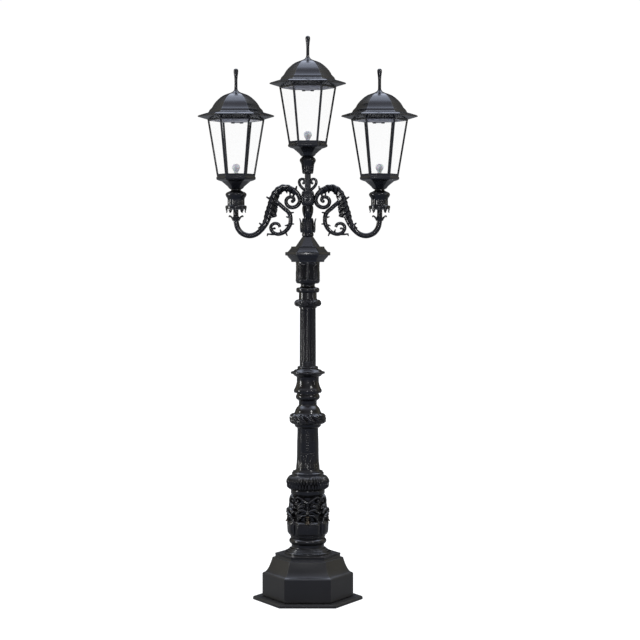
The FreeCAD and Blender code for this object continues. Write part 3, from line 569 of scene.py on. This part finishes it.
def mask_height(ax, z):
    """Relief of a grotesque leaf mask over the drum; ax is the arc from its middle, z from 655."""
    h = -16.0 * ease(-60, -52, z) * (1 - ease(118, 150, z))
    # almond cheek lobes, each lapped by three pointed leaf tips
    for cx, cz, a, b, lift in ((50, 56, 38, 21, 17), (66, 44, 26, 10, 12), (34, 74, 20, 8, 12)):
        dx, dz = ax - cx, z - cz
        dx, dz = dx * 0.97 - dz * 0.22, dz * 0.97 + dx * 0.22
        q = (dx / a) ** 2 + (dz / b) ** 2
        if q < 1:
            dome = -16 + (lift + 16) * (1 - q) ** 0.42
            if lift == 17:
                dome -= 6.0 * math.exp(-((q - 0.42) / 0.12) ** 2) + 1.0 * math.cos(0.42 * dx) * (1 - q)
            h = max(h, dome)
    for line, rad, top, ripple in STROKES:
        best, at, m = 1e9, 0, len(line) - 1
        for k, p in enumerate(line):
            d = (ax - p[0]) ** 2 + (z - p[1]) ** 2
            if d < best:
                best, at = d, k
        t = at / m
        r = rad(t)
        if best < r * r:
            q = math.sqrt(1 - best / (r * r))
            groove = 7.0 * math.exp(-best / 5.0) * math.sin(math.pi * t) if r > 12.6 else -1.2 * math.exp(-best / 3.0)
            h = max(h, -16 + (top(t) + 16) * q ** 0.6 + ripple * math.cos(20 * t) * q - groove)
    # bulging arched panel below the mouth: raised rim, centre ridge, punched ground
    q = (ax / 97.0) ** 8 + (abs(z + 110) / 56.0) ** 8
    if q < 1:
        p = -2 + 26.0 * (1 - q) ** 0.42 * (0.84 + 0.16 * math.cos(math.pi * (z + 100) / 112.0))
        p -= 5.0 * math.exp(-((q - 0.28) / 0.16) ** 2)
        p += 4.0 * math.exp(-(ax / 3.0) ** 2)
        if q < 0.10 and ax > 5:
            p += 1.0 * math.sin(0.62 * ax + 0.5 * math.sin(0.21 * z)) * math.sin(0.60 * z + 0.7 * math.sin(0.17 * ax))
        h = max(h, p)
    # the shield's flat lower part, with its raised edge
    q = ((ax / 97.0) ** 8 + (abs(z + 118) / 63.0) ** 8) ** 0.125
    if q < 1:
        h = max(h, 1.0 + 3.6 * math.exp(-((q - 0.955) / 0.022) ** 2) + (2.4 * math.exp(-(ax / 2.6) ** 2) if z < -60 else 0.0))
    # strands that fall from the mouth on to the panel
    q = (ax / 30.0) ** 2 + ((z + 66) / 30.0) ** 2
    if q < 1:
        h += 3.0 * (1 - q) * (0.4 + 0.6 * math.cos(0.75 * ax))
    return h * ease(-184, -180, z) * (1 - ease(150, 162, z))


ROWS, QUAD = 150, 96
ZS = [473 + 347.0 * j / ROWS for j in range(ROWS + 1)]
RELIEF = [[mask_height(127.5 * math.pi / 4 * i / 48, z - 655) for i in range(49)] for z in ZS]
ring_list = []
for zz, rr in ((469, 123.0), (470, 127.5), (471.5, 127.5)):
    ring_list.append([(rr * math.cos(TAU * c / 384), rr * math.sin(TAU * c / 384), zz) for c in range(384)])
for zz, row in zip(ZS, RELIEF):
    ring = []
    for c in range(384):
        k = abs((c + 48) % 96 - 48)
        rr = 127.5 + row[k]
        ring.append((rr * math.cos(TAU * c / 384), rr * math.sin(TAU * c / 384), zz))
    ring_list.append(ring)
for zz, rr in ((825, 127.5), (829, 126.0)):
    ring_list.append([(rr * math.cos(TAU * c / 384), rr * math.sin(TAU * c / 384), zz) for c in range(384)])
Soup().rings(ring_list).piece("mask_drum_cast", IRON, replaces=["mask_drum", "masks"], slot="column_iron", angle=75)

# Brass nozzles hanging from the mouths.
nozzle = Soup()
NOZ = [(8, 0), (18, 0), (20, 4), (20, 10), (13, 13), (11, 26), (15, 29), (16, 33), (11, 36), (11, 46), (16, 58),
       (21, 66), (21.5, 69), (18, 70), (11, 60), (8, 60)]
prof = soften(NOZ, 1.5)
rings = []
tilt = math.radians(14)
for r, d in prof:
    ring = []
    for j in range(40):
        t = TAU * j / 40
        px, py, pz = 0.88 * r * math.cos(t), 0.88 * r * math.sin(t), -0.84 * d
        ring.append((px, -143 + py * math.cos(tilt) + pz * math.sin(tilt) * 0.6 + 0.0, 648 + pz * math.cos(tilt) + py * math.sin(tilt)))
    rings.append(ring)
nozzle.rings(rings)
spouts = Soup()
for k in range(4):
    spouts.add(nozzle.moved(spin=TAU * k / 4))
spouts.piece("spouts_brass", BRASS, replaces=["mask_spouts"], slot="spout_brass")

# ------------------------------------------------------------------ bracket stem
cup = lathe(soften([(40, 2727), (44, 2731), (44, 2748), (41, 2752), (45, 2760), (46, 2775), (44, 2846), (36, 2850)], 3), 72)
for k in range(6):
    a = TAU * (k + 0.0) / 6
    line = smooth_line([(44, 2756), (49, 2772), (51, 2800), (52, 2830), (56, 2848), (60, 2862)], 4)
    cup.add(leaf(line, lambda t: 25 * (1 - max(0, t - 0.6) ** 1.6 * 2.6) * min(1.0, 0.65 + t), 14, a, 0.18, rib=2.4))
cup.piece("leaf_cup_cast", BRACKET, replaces=["leaf_cup"], slot="bracket_iron")

stem = lathe(soften([(28, 2846), (28, 2868), (31, 2880), (33, 2899), (33, 2959)], 3), 72)
for k in range(6):
    a = TAU * (k + 0.5) / 6
    line = smooth_line([(31, 2956), (36, 2940), (37, 2915), (34, 2890), (29, 2866)], 4)
    stem.add(leaf(line, lambda t: 15 * (1 - 0.75 * t ** 2), 6, a, 0.2, rib=1.6))
stem.piece("centre_stem_cast", BRACKET, replaces=["centre_stem"], slot="bracket_iron")

rings = []
for i in range(33):
    t = i / 32
    z = 2959 + 105 * t
    half = 49 * (0.86 + 0.14 * math.sin(math.pi * t) ** 0.35) if 0 < t < 1 else 40
    ring = []
    for j in range(96):
        th = TAU * j / 96
        c, s = math.cos(th), math.sin(th)
        rr = half / (abs(c) ** 5 + abs(s) ** 5) ** 0.2
        fold = 1.4 * math.sin(math.pi * t) * math.cos(18 * t + 5 * math.cos(4 * th)) * (0.5 + 0.5 * math.cos(8 * th))
        rr = min(rr + fold - 1.4, 60)
        x, y = max(-49, min(49, rr * c)), max(-49, min(49, rr * s))
        ring.append((x, y, z))
    rings.append(ring)
Soup().rings(rings).piece("bracket_boss_cast", BRACKET, replaces=["bracket_boss"], slot="bracket_iron", angle=50)


def px(points):
    """Bracket drawing units (7.5 mm, measured left of the axis) to millimetres."""
    return [((x - 307.8) * 7.5, (599.5 - y) * 7.5) for x, y in points]


heart = tube(smooth_line(px([(305.9, 190.9), (303.4, 188.6), (300.6, 185.6), (299.3, 182.6), (299.7, 180.0), (301.7, 178.7),
                             (304.0, 179.3), (304.5, 181.3), (303.4, 182.9)]), 3), lambda t: 12.0 - 2.0 * t, 18, 0.9)
heart.add(blob((303.4 - 307.8) * 7.5, 0, (599.5 - 182.9) * 7.5, 10, 9, 10))
hearts = Soup().add(heart).add(heart.moved(mirror=True))
hearts.piece("heart_scrolls_cast", BRACKET, replaces=["heart_scrolls"], slot="bracket_iron")


def ribs(count, z0, z1, depth):
    def mod(th, z, r):
        env = min(1.0, max(0.0, (z - z0) / 6.0), max(0.0, (z1 - z) / 6.0))
        return -depth * env * abs(math.sin(count * th / 2)) ** 3
    return mod


SOCKET = [(36, 3195), (40.5, 3199), (44, 3225), (48, 3262), (53, 3277, 8.2), (52, 3314), (41, 3322.5)]
lathe(dense(soften(profile(SOCKET), 2.5), 6), 144, ribs(12, 3203, 3260, 4)).piece(
    "centre_socket_cast", BRACKET, replaces=["centre_socket"], slot="bracket_iron", angle=50)

# ------------------------------------------------------------------ brackets
ARM = px([(235.95, 205.5), (236.0, 211.5), (236.1, 217.4), (236.4, 222.0), (238.0, 227.9), (242.2, 232.9), (249.2, 235.3),
          (256.0, 233.7), (261.8, 228.9), (266.2, 222.8), (269.3, 215.9), (271.0, 209.0), (272.9, 200.6), (275.6, 192.6),
          (280.6, 188.0), (287.0, 187.2), (293.6, 189.6), (298.4, 194.6), (300.8, 200.2)])
ARM[-1] = (-55.0, ARM[-1][1])
VOL = px([(300.0, 199.0), (299.3, 202.6), (297.0, 205.5), (293.4, 207.0), (289.7, 206.6), (286.9, 204.2), (286.1, 200.8),
          (287.5, 197.9), (290.4, 196.6), (293.2, 197.4), (294.0, 199.7), (292.4, 201.3)])
BR = px([(273.2, 199.4), (276.5, 201.4), (280.4, 204.6), (284.4, 208.2), (288.0, 211.2), (290.2, 215.0), (290.7, 219.3),
         (290.0, 224.2), (287.3, 228.9), (283.2, 232.3), (278.0, 233.7), (273.6, 232.2), (271.1, 228.9), (271.4, 225.2),
         (274.6, 223.0), (278.3, 223.7), (280.0, 226.7)])


def thorn(x, y, dx, dy, size=5.2):
    a = px([(x, y), (x + dx * 0.55, y + dy * 0.55), (x + dx, y + dy * 1.25)])
    return tube(smooth_line(a, 2.5), lambda t: 1.25 * size * (1 - 0.66 * t) + 0.8, 12, 0.9)


def acanthus():
    """The leaf that wraps the arm: thick over the rod, thin and lobed at its free inner edge."""
    line = smooth_line(px([(259.9, 229.9), (264.4, 225.6), (267.8, 219.6), (270.2, 212.4), (271.8, 205.0), (273.4, 198.6),
                           (276.2, 192.2), (281.0, 188.2), (286.6, 187.6), (292.0, 190.1), (296.0, 193.6)]), 2.6)
    m, rings = len(line), []
    for i, p in enumerate(line):
        t = i / (m - 1)
        a, b = line[max(0, i - 1)], line[min(m - 1, i + 1)]
        tx, tz = b[0] - a[0], b[1] - a[1]
        q = math.hypot(tx, tz) or 1
        nx, nz = tz / q, -tx / q                 # towards the inside of the arch
        wide = 21 + 32 * ease(0.235, 0.28, t) * (1 - ease(0.28, 0.75, t)) + 12 * math.exp(-((t - 0.68) / 0.2) ** 2)
        lobes = (t * 13.0) % 1.0
        wide *= 0.86 + 0.14 * lobes ** 0.7
        fade = min(1.0, t * 8 + 0.35, (1 - t) * 7 + 0.35)
        wide = 19 + (wide - 19) * fade if wide > 19 else wide
        outer = 22 + fade * (4 + 13 * math.exp(-((t - 0.29) / 0.12) ** 2) + 5 * math.exp(-((t - 0.5) / 0.12) ** 2)
                             + 2.0 * math.cos(t * 13 * TAU))
        ring = []
        n = 28
        for j in range(n):
            ph = TAU * j / n
            c, s = math.cos(ph), math.sin(ph)
            n_at = wide * c if c > 0 else outer * c
            thick = (22.5 * fade + 1.0) * (1 - 0.84 * max(0.0, c) ** 0.8 * min(1.0, (wide - 19) / 22.0 if wide > 19 else 0))
            y = thick * s
            phase = (t * 13.0 + 0.012 * n_at) % 1.0          # rolled folds, each stepping back up the leaf
            fold = fade * abs(s) ** 0.5 * (17.0 * (1 - phase) ** 0.8 - 6.0)
            y += fold if s > 0 else -fold
            ring.append((p[0] + nx * n_at, y, p[1] + nz * n_at))
        rings.append(ring)
    s = Soup().rings(rings)
    s.add(thorn(263.6, 225.2, -4.4, -2.2, 9.0)).add(thorn(271.4, 198.9, -5.0, -2.0, 9.0))
    s.add(thorn(294.9, 190.8, 1.9, -4.2, 9.0)).add(thorn(275.0, 213.4, 1.6, 2.2, 8.0))
    s.add(thorn(274.8, 205.8, 3.0, 1.6, 7.0))
    for x, y, dx, dy in ((281.5, 190.2, -0.2, 3.0), (286.0, 189.8, 1.2, 2.6), (290.5, 191.9, -0.6, 3.0), (294.2, 194.8, -2.0, 1.6)):
        s.add(thorn(x, y, dx, dy, 7.5))
    return s


arm = tube(smooth_line(ARM, 5), lambda t: 19.8 - 2.6 * max(0.0, t - 0.6) / 0.4, 28)
scroll = tube(smooth_line(VOL, 3), lambda t: 16.0 - 3.5 * t, 22)
scroll.add(blob((292.6 - 307.8) * 7.5, 0, (599.5 - 200.9) * 7.5, 14, 13, 14))
scroll.add(tube(smooth_line(BR, 3), lambda t: 16.0 - 4.5 * max(0.0, t - 0.45) / 0.55, 22))
scroll.add(tube(smooth_line(px([(271.8, 231.6), (272.6, 228.8), (274.6, 227.4)]), 2), lambda t: 8.5 - 2.5 * t, 14))
scroll.add(blob((274.7 - 307.8) * 7.5, 0, (599.5 - 228.0) * 7.5, 9, 9, 9))
scroll.add(tube(smooth_line(px([(275.5, 233.6), (271.5, 233.9), (267.2, 233.4)]), 3), lambda t: 9.5 - 4.0 * t, 14))
scroll.add(thorn(268.0, 233.4, -0.8, 1.9, 5.5))
for x, y, dx, dy in ((290.2, 212.6, 3.8, -0.6), (290.7, 223.4, 3.6, 0.2), (289.6, 217.0, -3.6, -0.6), (288.6, 224.6, -3.8, 0.6),
                     (285.0, 231.4, 2.4, 3.4), (281.8, 232.6, -1.6, -3.0)):
    scroll.add(thorn(x, y, dx, dy, 7.0))
ac = acanthus()
for side, mirror in (("left", False), ("right", True)):
    arm.moved(mirror=mirror).piece("arm_%s_cast" % side, BRACKET, replaces=["arm_" + side], slot="bracket_iron")
    scroll.moved(mirror=mirror).piece("scrolls_%s_cast" % side, BRACKET, replaces=["scrolls_" + side], slot="bracket_iron")
    ac.moved(mirror=mirror).piece("acanthus_%s_cast" % side, LANTERN, replaces=["acanthus_" + side], slot="bracket_iron", angle=50)

HOLD = [(30, 2926), (60, 2930), (77, 2933), (80, 2937), (80, 2953), (76, 2957), (64, 2959), (63.5, 3006), (67, 3015, 18.5),
        (54, 3062), (38, 3070), (36, 3078)]
holder = lathe(dense(soften(profile(HOLD), 2.5), 6), 144, ribs(14, 2956, 3006, 3.5))
for k in range(10):
    a = TAU * (k + 0.5) / 10
    holder.add(leaf(smooth_line([(72, 2940), (74, 2926), (72, 2914), (76, 2904)], 3),
                    lambda t: 17 * (1 - 0.8 * t ** 1.3), 9, a, 0.1, rib=1.5))
for k in range(4):
    a = TAU * (k + 0.5) / 4 + math.pi / 4
    holder.add(leaf(smooth_line([(17, 2846), (25, 2860), (35, 2872), (44, 2880), (51, 2880), (53, 2870)], 3),
                    lambda t: 22 * math.sin(math.pi * min(0.93, 0.3 + 0.63 * t)), 17, a, 0.2, rib=1.5))
for side, sx in (("left", -537), ("right", 537)):
    holder.moved(dx=sx).piece("holder_%s_cast" % side, BRACKET, replaces=["holder_" + side], slot="bracket_iron", angle=50)

# ------------------------------------------------------------------ lanterns
TRAY = [(41, 3322.5), (53, 3330), (63.8, 3345), (81, 3360), (108, 3382.5), (131, 3389), (147, 3397.5), (148.5, 3410),
        (147, 3413.5), (144.5, 3415), (144.5, 3420)]
ROOF = [(213.75, 3844.3), (284.5, 3865.2), (286.5, 3867), (286.5, 3873), (279, 3877.5), (254, 3885), (229, 3892.5), (212, 3896.5),
        (206, 3900), (199, 3915), (180, 3934), (170, 3952.5), (160, 3967.5), (147, 3982.5),
        (131.3, 3997.5), (114, 4012.5), (90, 4027.5), (66, 4037), (44, 4044), (26, 4052), (14, 4064)]
ROOF_IN = [(183, 3836), (183, 3854), (226, 3869), (206, 3887), (184, 3908), (163, 3945), (142, 3970), (96, 4008), (20, 4038)]
for name, ox, drop in (("centre", 0.0, 0.0), ("left", -537.0, 244.5), ("right", 537.0, 244.5)):
    hexpiece(TRAY, 2.5, ox, drop, 2.0).piece("tray_%s_cast" % name, LANTERN, replaces=["tray_" + name], slot="lantern_metal")
    # Roof: outer skin, down over the eave, in under it to the skirt, and up the hollow inside.
    outer = soften(ROOF, 2.0)
    inner = soften([(190, 3850), (190, 3836)] + ROOF_IN, 1.5)
    shell = [hex_ring(c, z, 2.5, ox, drop) for c, z in reversed(outer)] + [hex_ring(c, z, 2.5, ox, drop) for c, z in inner]
    Soup().rings(shell).piece("roof_%s_cast" % name, LANTERN, "roof_" + name, ["roof_" + name], "lantern_metal", 28)
    # Pale inner band on the skirt: a real liner whose raised colour is painted reflection and painted light against the
    # eave's shade.
    liner = [hex_ring(c, z, 2.5, ox, drop) for c, z in ((190.6, 3849.5), (190.6, 3835.6), (182.2, 3835.6), (182.2, 3884), (184.6, 3884), (184.6, 3849.5))]
    liner_reflection_band = Soup().loop_rings(liner)
    liner_reflection_band.piece("roof_liner_%s" % name, LINER_PAINTED_REFLECTION, "roof_" + name, slot="lantern_metal")
    FIN = [(20, 4050), (18, 4060), (14, 4066), (12, 4074), (11.6, 4090), (11.6, 4144), (14, 4172), (17.8, 4200), (18, 4210),
           (14.5, 4220), (8, 4224.5), (2, 4225)]
    lathe(soften(FIN, 3), 40, ox=ox, drop=drop).piece("finial_%s_cast" % name, LANTERN, "roof_" + name, ["finial_" + name], "lantern_metal")
    BULBP = [(13.2, 3430), (13.2, 3447), (15, 3453), (19.5, 3461), (25, 3471), (28.8, 3480), (30, 3488), (28.2, 3498),
             (22.5, 3507), (13, 3512.8), (4, 3514)]
    lathe(dense(BULBP, 3), 56, ox=ox, drop=drop).piece("bulb_%s_glass" % name, BULB, replaces=["bulb_" + name], slot="bulb_glass", angle=60)
    LH = [(26, 3420), (26, 3426), (19, 3429), (18, 3432), (19, 3434), (18, 3437), (19, 3439), (18.4, 3447), (14, 3447)]
    lathe(soften(LH, 1.0), 48, ox=ox, drop=drop).piece("lampholder_%s_cap" % name, HOLDER, replaces=["lampholder_" + name], slot="lampholder_plastic")

# ------------------------------------------------------------------ carried-over CAD nodes
for n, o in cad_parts.items():
    if o.hide_render:
        continue
    mat = IRON
    if n.startswith("frame_"):
        mat = LANTERN
    elif n.startswith("glass_"):
        mat = GLASS
    elif n in ("core_tube", "spigot_tube"):
        mat = TUBE
    # The hinge pins take the same pale liner colour, painted reflection included.
    elif n == "roof_hinge_pins":
        mat = LINER_PAINTED_REFLECTION
    elif n in ("door_hinge_pin", "door_lock"):
        mat = STEEL
    elif n in ("gear_board", "fuse_unit"):
        mat = BOARD
    elif n in ("plinth_shell", "access_door"):
        mat = PLINTH
    o.data.materials.clear()
    o.data.materials.append(mat)
    if n in ("plinth_shell", "access_door"):
        weld = o.modifiers.new("weld", "WELD")
        weld.merge_threshold = 0.00005
        bev = o.modifiers.new("edge", "BEVEL")
        bev.width, bev.segments = (0.009 if n == "plinth_shell" else 0.002), 3
        bev.limit_method, bev.angle_limit = "ANGLE", math.radians(25)
        bev.harden_normals = True

# ------------------------------------------------------------------ stage, light, camera
floor_me = bpy.data.meshes.new("floor")
floor_me.from_pydata([(-60, -30, 0), (60, -30, 0), (60, 90, 0), (-60, 90, 0)], [], [(0, 1, 2, 3)])
floor = bpy.data.objects.new("floor", floor_me)
bpy.context.scene.collection.objects.link(floor)
fm, fnt, fb = shader("pale_floor", Roughness=0.9)
fsep = fnt.nodes.new("ShaderNodeSeparateXYZ")
fnt.links.new(coords(fnt), fsep.inputs[0])
fmap = fnt.nodes.new("ShaderNodeMapRange")
fmap.inputs["From Min"].default_value = -3.0
fmap.inputs["From Max"].default_value = 2.0
fnt.links.new(fsep.outputs["Y"], fmap.inputs["Value"])
fnt.links.new(ramp(fnt, fmap.outputs["Result"], [(0.35, (0.145, 0.155, 0.190)), (0.62, (0.150, 0.145, 0.130))]),
              fb.inputs["Base Color"])
floor_me.materials.append(fm)

# White where it is seen, directly or through the panes; dim where it lights, so the enamel stays black.
SEEN, LIGHTS = 1.02, 1.0


def seen_or_lit(nt):
    lp = nt.nodes.new("ShaderNodeLightPath")
    m = nt.nodes.new("ShaderNodeMath")
    m.operation = "MAXIMUM"
    nt.links.new(lp.outputs["Is Camera Ray"], m.inputs[0])
    nt.links.new(lp.outputs["Is Transmission Ray"], m.inputs[1])
    return m.outputs[0]


world = bpy.data.worlds.new("studio")
bpy.context.scene.world = world
world.use_nodes = True
wnt = world.node_tree
bg = wnt.nodes["Background"]
bg.inputs["Color"].default_value = (1.0, 1.0, 1.0, 1.0)
bg.inputs["Strength"].default_value = SEEN
dim = wnt.nodes.new("ShaderNodeBackground")
dim.inputs["Strength"].default_value = LIGHTS
way = wnt.nodes.new("ShaderNodeTexCoord").outputs["Generated"]
parts = wnt.nodes.new("ShaderNodeSeparateXYZ")
wnt.links.new(way, parts.inputs[0])


def half(out):
    m = wnt.nodes.new("ShaderNodeMapRange")
    m.inputs["From Min"].default_value = -1.0
    m.inputs["From Max"].default_value = 1.0
    wnt.links.new(out, m.inputs["Value"])
    return m.outputs["Result"]


round_about = ramp(wnt, half(parts.outputs["Y"]), [(0.0, (0.50, 0.51, 0.60)), (0.20, (0.15, 0.15, 0.155)),
                                                  (0.45, (0.26, 0.24, 0.19)), (0.72, (0.58, 0.54, 0.43)),
                                                  (0.82, (0.26, 0.25, 0.22)), (0.95, (0.03, 0.03, 0.03))])
overhead = ramp(wnt, half(parts.outputs["Y"]), [(0.0, (0.15, 0.16, 0.20)), (0.16, (0.68, 0.69, 0.80)),
                                                (0.36, (1.05, 1.08, 1.30)), (0.46, (3.0, 3.3, 4.1)),
                                                (0.82, (3.4, 3.7, 4.5)), (1.0, (0.5, 0.5, 0.5))])
tall = ramp(wnt, half(parts.outputs["Z"]), [(0.79, (0.0, 0.0, 0.0)), (0.90, (1.0, 1.0, 1.0))])
blend = wnt.nodes.new("ShaderNodeMix")
blend.data_type = "RGBA"
wnt.links.new(tall, blend.inputs["Factor"])
wnt.links.new(round_about, blend.inputs["A"])
wnt.links.new(overhead, blend.inputs["B"])
wnt.links.new(blend.outputs["Result"], dim.inputs["Color"])
mixw = wnt.nodes.new("ShaderNodeMixShader")
wnt.links.new(seen_or_lit(wnt), mixw.inputs["Fac"])
wnt.links.new(dim.outputs[0], mixw.inputs[1])
wnt.links.new(bg.outputs[0], mixw.inputs[2])
wnt.links.new(mixw.outputs[0], wnt.nodes["World Output"].inputs["Surface"])

femit = fnt.nodes.new("ShaderNodeEmission")
femit.inputs["Color"].default_value = (1.0, 1.0, 1.0, 1.0)
femit.inputs["Strength"].default_value = 0.97
fadd = fnt.nodes.new("ShaderNodeMixShader")
fnt.links.new(seen_or_lit(fnt), fadd.inputs["Fac"])
fnt.links.new(fb.outputs[0], fadd.inputs[1])
fboth = fnt.nodes.new("ShaderNodeAddShader")
fnt.links.new(fb.outputs[0], fboth.inputs[0])
fnt.links.new(femit.outputs[0], fboth.inputs[1])
fnt.links.new(fboth.outputs[0], fadd.inputs[2])
fnt.links.new(fadd.outputs[0], fnt.nodes["Material Output"].inputs["Surface"])
bpy.context.scene.view_settings.view_transform = "Standard"


def area(name, loc, target, sx, sy, power, color=(1, 1, 1)):
    light = bpy.data.lights.new(name, "AREA")
    light.shape = "RECTANGLE"
    light.size, light.size_y, light.energy, light.color = sx, sy, power, color
    ob = bpy.data.objects.new(name, light)
    ob.location = loc
    ob.rotation_euler = (Vector(target) - Vector(loc)).to_track_quat("-Z", "Y").to_euler()
    bpy.context.scene.collection.objects.link(ob)


area("key_left", (-8.6, -1.6, 3.2), (0, 0, 2.2), 0.8, 3.6, 300)
area("spot_right", (5.6, -7.6, 8.2), (0, 0, 1.8), 0.9, 0.9, 260)
area("fill_centre", (-0.3, -10.5, 3.1), (0, 0, 2.0), 0.5, 0.5, 60)
area("edge_right", (8.8, -3.0, 3.0), (0, 0, 2.2), 0.3, 3.0, 40)

# Camera: 13.31 m away, horizon below the lanterns; tilt and a small shift share the offset.
D = 1775 * 7.5 * MM
F = 1776.8
SHIFT = 35.0 / 640.0
eye_z = 2.640
pitch = math.atan(37.0 / 1775.0)
cam_data = bpy.data.cameras.new("camera")
cam_data.sensor_width = 36.0
cam_data.lens = F / 640.0 * 36.0
cam_data.shift_y = -SHIFT
cam_data.shift_x = 0.0
cam = bpy.data.objects.new("camera", cam_data)
cam.location = ((320.0 - 307.8) * 7.5 * MM, -D, eye_z)
cam.rotation_euler = (math.pi / 2 - pitch, 0, 0)
bpy.context.scene.collection.objects.link(cam)
bpy.context.scene.camera = cam
